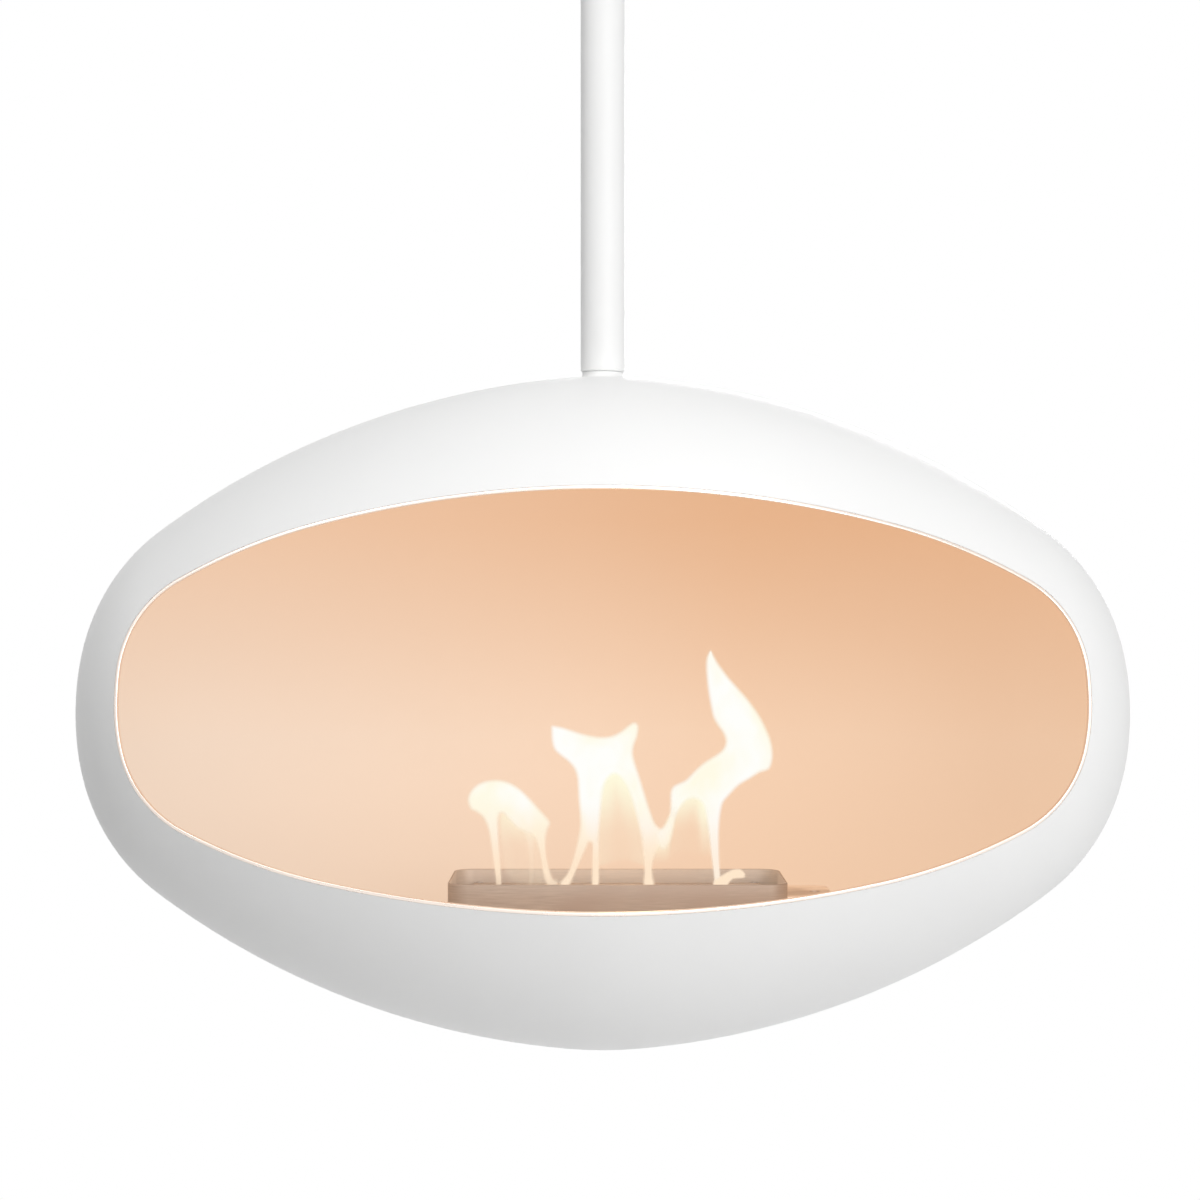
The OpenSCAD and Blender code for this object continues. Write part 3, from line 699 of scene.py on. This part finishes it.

# The fire's light painted on the lining as emission, and where it changes, in metres from the pod's centre
PAINTED_FIRELIGHT_ABOVE = (0.565, 0.31, 0.17)
PAINTED_FIRELIGHT_BELOW = (0.615, 0.425, 0.295)
PAINTED_FIRELIGHT_LEFT_ABOVE = (0.61, 0.41, 0.285)
PAINTED_FIRELIGHT_LEFT_BELOW = (0.53, 0.435, 0.36)
PAINTED_FIRELIGHT_TOP, PAINTED_FIRELIGHT_LOW = 0.19, -0.04
PAINTED_FIRELIGHT_RIGHT, PAINTED_FIRELIGHT_LEFT = 0.15, -0.5

# The fire's two tones, the warmer colour of its feet, and the heights in metres between which that fades
FLAME_TONES = ((1.0, 0.965, 0.80), (1.0, 1.0, 0.97))
VEIL_TONES = ((1.0, 0.97, 0.72), (1.0, 1.0, 0.78))
FLAME_FOOT_COLOR = (1.0, 0.80, 0.60)
FLAME_WARM = -0.152
FLAME_WHITE = -0.078

# What most of a noise stays between, and where the soft patches of a coarse one begin and end
NOISE_RANGE = (0.3, 0.7)
PATCH_RANGE = (0.35, 0.65)


class Look:
    """A material made of nodes, with short calls that add to it."""

    def __init__(self, name, color, roughness, metallic=0.0):
        self.material = bpy.data.materials.new(name)
        self.material.use_nodes = True
        self.tree = self.material.node_tree
        self.shader = self.tree.nodes["Principled BSDF"]
        self.put("Base Color", color)
        self.put("Roughness", roughness)
        self.put("Metallic", metallic)

    def feed(self, socket, value):
        """Gives an input a value, or a link where the value is another node's output."""
        if isinstance(value, bpy.types.NodeSocket):
            self.tree.links.new(value, socket)
        elif socket.type == "RGBA":
            socket.default_value = (*value, 1)
        else:
            socket.default_value = value

    def put(self, name, value):
        """Feeds an input of the shader."""
        self.feed(self.shader.inputs[name], value)

    def node(self, kind, values=None, **settings):
        """A new node, with its settings and with values or links for its inputs."""
        made = self.tree.nodes.new("ShaderNode" + kind)
        for key, value in settings.items():
            setattr(made, key, value)
        for key, value in (values or {}).items():
            self.feed(made.inputs[key], value)
        return made

    def place(self, stretch=(1, 1, 1)):
        """The place in the part's own frame, stretched along its axes."""
        at = self.node("TexCoord").outputs["Object"]
        return self.node("Mapping", {"Vector": at, "Scale": stretch}).outputs["Vector"]

    def axes(self):
        """The three coordinates in the part's own frame, by their names."""
        at = self.node("TexCoord").outputs["Object"]
        return self.node("SeparateXYZ", {"Vector": at}).outputs

    def noise(self, scale, stretch=(1, 1, 1), detail=3.0):
        """Soft noise about 0.5, whose blotches are finer the greater its scale is."""
        values = {"Vector": self.place(stretch), "Scale": scale, "Detail": detail}
        return self.node("TexNoise", values).outputs["Fac"]

    def spread(self, value, low, high, to_low=0.0, to_high=1.0, smooth=False):
        """The value from low to high becomes to_low to to_high."""
        values = {"Value": value, "From Min": low, "From Max": high, "To Min": to_low, "To Max": to_high}
        kind = "SMOOTHSTEP" if smooth else "LINEAR"
        return self.node("MapRange", values, interpolation_type=kind).outputs["Result"]

    def calculate(self, operation, a, b):
        """The result of an operation on two values."""
        return self.node("Math", {0: a, 1: b}, operation=operation).outputs["Value"]

    def mix(self, share, first, second):
        """A colour that goes from the first to the second as the share goes from 0 to 1."""
        color_a, color_b, color_result = 6, 7, 2
        values = {"Factor": share, color_a: first, color_b: second}
        return self.node("Mix", values, data_type="RGBA").outputs[color_result]

    def bump(self, height, strength, distance):
        """Relief of a height map, distance deep in metres."""
        values = {"Height": height, "Strength": strength, "Distance": distance}
        self.put("Normal", self.node("Bump", values).outputs["Normal"])


def shade(color, factor):
    """A colour times a factor."""
    return tuple(c * factor for c in color)


def powder_coat(name, color, roughness, grain=0.05):
    """Satin powder coat: a fine orange peel, and patches a little duller and warmer than the rest."""
    look = Look(name, color, roughness)
    look.put("Specular IOR Level", 0.3)
    patches = look.noise(5, detail=2)
    look.put("Base Color", look.mix(look.spread(patches, *PATCH_RANGE), color, shade(color, 0.985)))
    look.put("Roughness", look.spread(look.noise(60), *NOISE_RANGE, roughness - 0.03, roughness + 0.04))
    look.bump(look.noise(850, detail=2), strength=grain, distance=0.0003)
    return look


def lining_coat(name, share):
    """The warm coat inside the pod, a dark base under an emission that paints the fire's light on it:
    apricot at the top right, and paler below and to the left."""
    look = powder_coat(name, LINING_COLOR, 0.6, grain=0.03)
    x, _, z = look.axes()
    # Painted firelight: the emission's colour is graded by height and side, with a little noise
    down = look.spread(z, POD_Z + PAINTED_FIRELIGHT_TOP, POD_Z + PAINTED_FIRELIGHT_LOW)
    left = look.spread(x, PAINTED_FIRELIGHT_RIGHT, PAINTED_FIRELIGHT_LEFT)
    uneven = look.spread(look.noise(9, detail=2), *NOISE_RANGE, -0.02, 0.02)
    glow = look.mix(look.calculate("ADD", down, uneven), PAINTED_FIRELIGHT_ABOVE, PAINTED_FIRELIGHT_BELOW)
    look.put("Emission Color", look.mix(left, glow, look.mix(down, PAINTED_FIRELIGHT_LEFT_ABOVE, PAINTED_FIRELIGHT_LEFT_BELOW)))
    look.put("Emission Strength", share)
    return look.material


def polished_edge():
    """The bright edge round the mouth, with a warm tint that paints the fire's light on it."""
    look = Look("rim_coat", RIM_COLOR_WITH_PAINTED_FIRELIGHT, 0.28, 0.8)
    look.put("Roughness", look.spread(look.noise(70), *NOISE_RANGE, 0.24, 0.34))
    patches = look.noise(12, detail=2)
    look.put("Base Color", look.mix(look.spread(patches, *PATCH_RANGE), RIM_COLOR_WITH_PAINTED_FIRELIGHT, shade(RIM_COLOR_WITH_PAINTED_FIRELIGHT, 0.97)))
    return look.material


def brushed_metal(name, color, roughness, stretch, scale=90, metallic=0.9, tint=None, glow=None):
    """Brushed sheet with fine lines across the longest stretch, and a heat tint in soft patches.
    The inside of a piece that the flames light has a painted glow, an emission that stands in for their
    light."""
    look = Look(name, color, roughness, metallic)
    lines = look.noise(scale, stretch, detail=4)
    worn = look.mix(look.spread(lines, *NOISE_RANGE), shade(color, 0.86), shade(color, 1.1))
    if tint:
        patches = look.spread(look.noise(14, detail=2), 0.38, 0.68, to_high=0.8, smooth=True)
        worn = look.mix(patches, worn, tint)
    look.put("Base Color", worn)
    look.put("Roughness", look.spread(lines, 0.25, 0.75, roughness - 0.08, roughness + 0.1))
    look.bump(lines, strength=0.12, distance=0.0002)
    # Painted firelight: emission on the faces that the attribute inside marks
    if glow:
        look.put("Emission Color", glow)
        look.put("Emission Strength", look.node("Attribute", attribute_name="inside").outputs["Fac"])
    return look.material


def turned_metal(name, color, roughness):
    """Turned or rolled metal with fine rings across its upright axis."""
    return brushed_metal(name, color, roughness, (1, 1, 14), scale=260, metallic=1.0)


def zinc_plate():
    """Zinc plating with the pale spangle of its crystals."""
    dark, middle, pale = ZINC_COLORS
    look = Look("zinc_steel", middle, 0.42, 0.9)
    cells = look.node("TexVoronoi", {"Vector": look.place(), "Scale": 160.0}).outputs["Color"]
    spangle = look.node("SeparateColor", {"Color": cells}).outputs["Red"]
    look.put("Base Color", look.mix(spangle, dark, pale))
    look.put("Roughness", look.spread(spangle, 0, 1, 0.38, 0.46))
    look.bump(look.noise(400), strength=0.08, distance=0.0002)
    return look.material


def ceramic_wool():
    """Matted fibres with soot in soft patches."""
    dark, middle, pale = WOOL_COLORS
    look = Look("fibre_wool", middle, 0.95)
    fibres = look.noise(240, (1, 3, 1), detail=8)
    soot = look.spread(look.noise(22), 0.45, 0.7, to_high=0.5, smooth=True)
    clean = look.mix(look.spread(fibres, *NOISE_RANGE), dark, pale)
    look.put("Base Color", look.mix(soot, clean, SOOT_COLOR))
    look.bump(fibres, strength=0.8, distance=0.0015)
    return look.material


def waxy_plastic():
    """Off-white bearing plastic, slightly mottled."""
    dark, middle, pale = PLASTIC_COLORS
    look = Look("slip_plastic", middle, 0.35)
    mottle = look.spread(look.noise(120), *NOISE_RANGE)
    look.put("Base Color", look.mix(mottle, dark, pale))
    look.bump(look.noise(500), strength=0.05, distance=0.0002)
    return look.material


def flame_look(name, strongest, foot_share=1.0, foot_heat=0.0, fade=(-0.168, -0.148), tones=FLAME_TONES):
    """Fire that flickers between two tones, of which foot_heat is left in the warmer colour of its foot.
    It fades at its edges, and between the two heights of fade to foot_share of its strength."""
    look = Look(name, (0, 0, 0), 1.0)
    look.put("Specular IOR Level", 0.0)
    glow = look.node("Attribute", attribute_name="glow").outputs["Fac"]
    z = look.axes()["Z"]
    rise = look.spread(z, POD_Z + fade[0], POD_Z + fade[1], to_low=foot_share, smooth=True)
    solid = look.spread(glow, 0, 1, to_high=strongest, smooth=True)
    flicker = look.spread(look.noise(22, (1, 1, 0.6)), 0.36, 0.64)
    look.put("Alpha", look.calculate("MULTIPLY", solid, rise))
    heat = look.spread(z, POD_Z + FLAME_WARM, POD_Z + FLAME_WHITE, to_low=foot_heat, smooth=True)
    look.put("Emission Color", look.mix(heat, FLAME_FOOT_COLOR, look.mix(flicker, *tones)))
    look.put("Emission Strength", 1.0)
    return look.material


def background_rays(tree):
    """1 for the rays that see the white background: the camera's, and those that metal or glass turns."""
    paths = tree.nodes.new("ShaderNodeLightPath").outputs
    seen = paths["Is Camera Ray"]
    for other in ("Is Glossy Ray", "Is Transmission Ray"):
        either = tree.nodes.new("ShaderNodeMath")
        either.operation = "MAXIMUM"
        tree.links.new(seen, either.inputs[0])
        tree.links.new(paths[other], either.inputs[1])
        seen = either.outputs[0]
    return seen


def studio_floor():
    """White for the camera, but darker where the object keeps the light off it."""
    look = Look("studio_floor", FLOOR_COLOR, 0.9)
    look.put("Emission Color", (1, 1, 1))
    look.put("Emission Strength", look.calculate("MULTIPLY", background_rays(look.tree), FLOOR_FILL))
    return look.material


# The pieces

def build_pod(coat, lining, rim):
    """The pod's wall as an outer and an inner layer, with the mouth's edge and the neck."""
    skin = shell_layer("pod_skin", RIM_W, 0, SKIN_BACK, SKIN_ROWS, HIDDEN_ROWS)
    finish_piece(skin, "pod", coat, "white_coat", "shell_upper", "shell_lower")
    inner = shell_layer("pod_lining", RIM_W / 2, SHELL_T, LINING_BACK, LINING_ROWS, HIDDEN_ROWS)
    finish_piece(inner, "pod", lining, "lining_coat")
    finish_piece(mouth_bead("mouth_bead"), "pod", rim, "rim_coat", "mouth_rim")
    finish_piece(neck_ring("neck_ring"), "pod", coat, "white_coat", "neck_collar")


def build_burner(tray, wire):
    """The tray and the woven mesh in it."""
    finish_piece(burner_tray("burner_pan"), "burner", tray, "burner_steel", "burner_tray")
    finish_piece(wire_mesh("wire_mesh"), "burner", wire, "mesh_steel", "fibre_mesh")


def build_flames():
    """Three flames with a wisp and a tongue, and the veils of fainter fire between their legs."""
    fire = flame_look("flame", 0.96)
    tall = flame_look("flame_tall", 0.96, foot_heat=0.35)
    faint = flame_look("flame_faint", 0.90, foot_share=0.4)
    tongue = flame_look("flame_tongue", 0.25)

    # A veil's strength, the share and the heat of it at its foot, and the heights between which it fades
    low_veil = flame_look("veil_low", 0.40, 0.25, 0.3, (-0.135, -0.098), VEIL_TONES)
    veil = flame_look("veil", 0.80, 0.15, 0.6, (-0.125, -0.040), VEIL_TONES)
    short_veil = flame_look("veil_short", 0.75, 0.0, 0.5, (-0.150, -0.112), VEIL_TONES)
    side_veil = flame_look("veil_side", 0.55, 0.1, 0.6, (-0.118, -0.076), VEIL_TONES)
    leg_veil = flame_look("veil_leg", 0.42, 0.0, 0.6, (-0.145, -0.090), VEIL_TONES)

    for name, outline, material, depth, sway, centre_y, thin in (
            ("flame_left", LEFT_FLAME, faint, 15, (7, 0.4), 0, None),
            ("flame_middle", MIDDLE_FLAME, fire, 17, (8, 2.0), -2, None),
            ("flame_right", RIGHT_FLAME, tall, 16, (12, 3.4), 2, (70, -104))):
        flame_piece(name, outline, material, depth, FLAME_SOFT, sway, centre_y, core=CORE_INSET, thin=thin)
    flame_piece("flame_wisp", WISP, fire, depth=10, soft=3, sway=(0, 0), centre_y=-4, core=0.5 * CORE_INSET)
    flame_piece("flame_tongue", LEFT_TONGUE, tongue, depth=9, soft=5, sway=(3, 1.0), centre_y=9)

    for name, outline, material, depth, soft, sway, centre_y, beside in (
            ("veil_left", LEFT_VEIL, low_veil, 5, 6, (4, 0.4), 2, LEFT_FLAME),
            ("veil_middle", MIDDLE_VEIL, veil, 6, 5, (5, 2.0), 0, MIDDLE_FLAME),
            ("veil_valley", VALLEY_VEIL, short_veil, 6, 8, (5, 2.6), 2, None),
            ("veil_right", RIGHT_VEIL, side_veil, 6, 8, (5, 3.0), 3, RIGHT_FLAME),
            ("veil_leg", LEG_VEIL, leg_veil, 5, 8, (5, 3.2), 5, None)):
        flame_piece(name, outline, material, depth, soft, sway, centre_y, beside=beside)


def dress_nodes(looks):
    """Gives each CAD node that still shows the material of its slot."""
    slots = {part["node"]: part["material_slot"] for part in frame["record"]["subparts"]}
    for name, node in frame["nodes"].items():
        if not node.hide_render:
            node.data.materials.clear()
            node.data.materials.append(looks[slots[name]])


def build_object():
    """All pieces, and the materials of the CAD nodes that stay. Brushed lines have a stretch for the
    tray's walls, for flat plates and for wires."""
    wall_lines, flat_lines, wire_lines = (0.5, 0.5, 9), (0.5, 9, 9), (1, 1, 6)
    coat = powder_coat("coat", COAT_COLOR, 0.45).material
    # The lining's painted firelight at full strength
    lining = lining_coat("lining", 1.0)
    rim = polished_edge()
    tray = brushed_metal("burner_steel", TRAY_COLOR, 0.55, wall_lines, metallic=0.4, tint=TRAY_TINT,
                         glow=TRAY_PAINTED_FIRELIGHT)
    wire = brushed_metal("mesh_steel", WIRE_COLOR, 0.45, wire_lines, tint=WIRE_TINT)
    build_pod(coat, lining, rim)
    build_burner(tray, wire)
    build_flames()
    dress_nodes({
        "white_coat": coat,
        "rim_coat": rim,
        # The cradle has the lining's painted firelight at 0.3 of its strength
        "lining_coat": lining_coat("cradle", 0.3),
        "zinc_steel": zinc_plate(),
        "bright_steel": turned_metal("bright_steel", BRIGHT_STEEL_COLOR, 0.28),
        "bronze": turned_metal("bronze", BRONZE_COLOR, 0.35),
        "slip_plastic": waxy_plastic(),
        "burner_steel": brushed_metal("plate_steel", TRAY_COLOR, 0.5, flat_lines, metallic=0.5,
                                      tint=TRAY_TINT),
        "damper_steel": brushed_metal("damper_steel", DAMPER_COLOR, 0.38, flat_lines, tint=TRAY_COLOR),
        "fibre_wool": ceramic_wool(),
        "mesh_steel": wire,
    })


# The studio

# The photograph's side and focal length, in its pixels, and the sensor's width in millimetres
PHOTO_SIDE = 1200
PHOTO_FOCAL = 2495
SENSOR = 36

# The camera's place, with its height above the pod's centre
CAMERA_PLACE = (-0.0026, -2.4, 0.107)

# The name, place, side and watts of each lamp, which all point at the pod's centre
LAMPS = (
    ("right_lamp", (2.0, -3.9, -0.5), 2.6, 114),
    ("front_lamp", (-0.3, -4.4, -0.6), 2.6, 20),
    ("side_lamp", (3.8, -0.4, -0.9), 2.6, 13),
    ("top_lamp", (0.3, -0.8, 1.9), 2.4, 32),
    ("left_lamp", (-2.2, -0.9, 1.4), 2.2, 31),
    ("back_lamp", (0.8, 4.6, -0.4), 1.8, 90),
)

# The even light on the object, the fire's own light, and the floor's height and radius
AMBIENT = 0.20
FIRE_PLACE = (BURNER_X, -0.02, POD_Z - 0.06)
FIRE_LIGHT = (1, 0.72, 0.45)
FIRE_WATTS = 0.4
FIRE_R = 0.05
FLOOR_Z = -2.4
FLOOR_R = 2.7


def build_camera():
    """A level camera where the photograph was taken from."""
    data = bpy.data.cameras.new("camera")
    data.sensor_width = SENSOR
    data.lens = PHOTO_FOCAL / PHOTO_SIDE * SENSOR
    camera = bpy.data.objects.new("camera", data)
    x, y, above = CAMERA_PLACE
    camera.location = (x, y, POD_Z + above)
    camera.rotation_euler = (math.radians(90), 0, 0)
    bpy.context.scene.collection.objects.link(camera)
    bpy.context.scene.camera = camera


def add_lamp(name, kind, place, watts):
    """A new lamp of a kind at a place."""
    data = bpy.data.lights.new(name, kind)
    data.energy = watts
    lamp = bpy.data.objects.new(name, data)
    lamp.location = place
    bpy.context.scene.collection.objects.link(lamp)
    return lamp


def build_lamps():
    """Square soft lamps round the object, and the light of the fire on the lining and the burner."""
    middle = Vector((0, 0, POD_Z))
    for name, place, side, watts in LAMPS:
        lamp = add_lamp(name, "AREA", place, watts)
        lamp.data.shape = "SQUARE"
        lamp.data.size = side
        lamp.rotation_euler = (middle - Vector(place)).to_track_quat("-Z", "Y").to_euler()
    fire = add_lamp("fire_lamp", "POINT", FIRE_PLACE, FIRE_WATTS)
    fire.data.shadow_soft_size = FIRE_R
    fire.data.color = FIRE_LIGHT


def build_world():
    """White where it is seen, and a dimmer even light on the object."""
    world = bpy.data.worlds.new("studio")
    bpy.context.scene.world = world
    world.use_nodes = True
    nodes, links = world.node_tree.nodes, world.node_tree.links
    level = nodes.new("ShaderNodeMapRange")
    level.inputs["To Min"].default_value = AMBIENT
    level.inputs["To Max"].default_value = 1.0
    links.new(background_rays(world.node_tree), level.inputs["Value"])
    background = nodes["Background"]
    background.inputs["Color"].default_value = (1, 1, 1, 1)
    links.new(level.outputs["Result"], background.inputs["Strength"])


def build_floor():
    """A round pale floor under the pod."""
    corners = 128
    points = []
    for i in range(corners):
        a = 2 * math.pi * i / corners
        points.append((FLOOR_R * math.cos(a), FLOOR_R * math.sin(a), FLOOR_Z))
    floor = add_mesh("studio_floor", points, [tuple(range(corners))])
    floor.data.materials.append(studio_floor())


build_object()
build_camera()
build_world()
build_floor()
build_lamps()
bpy.context.scene.view_settings.view_transform = "Standard"
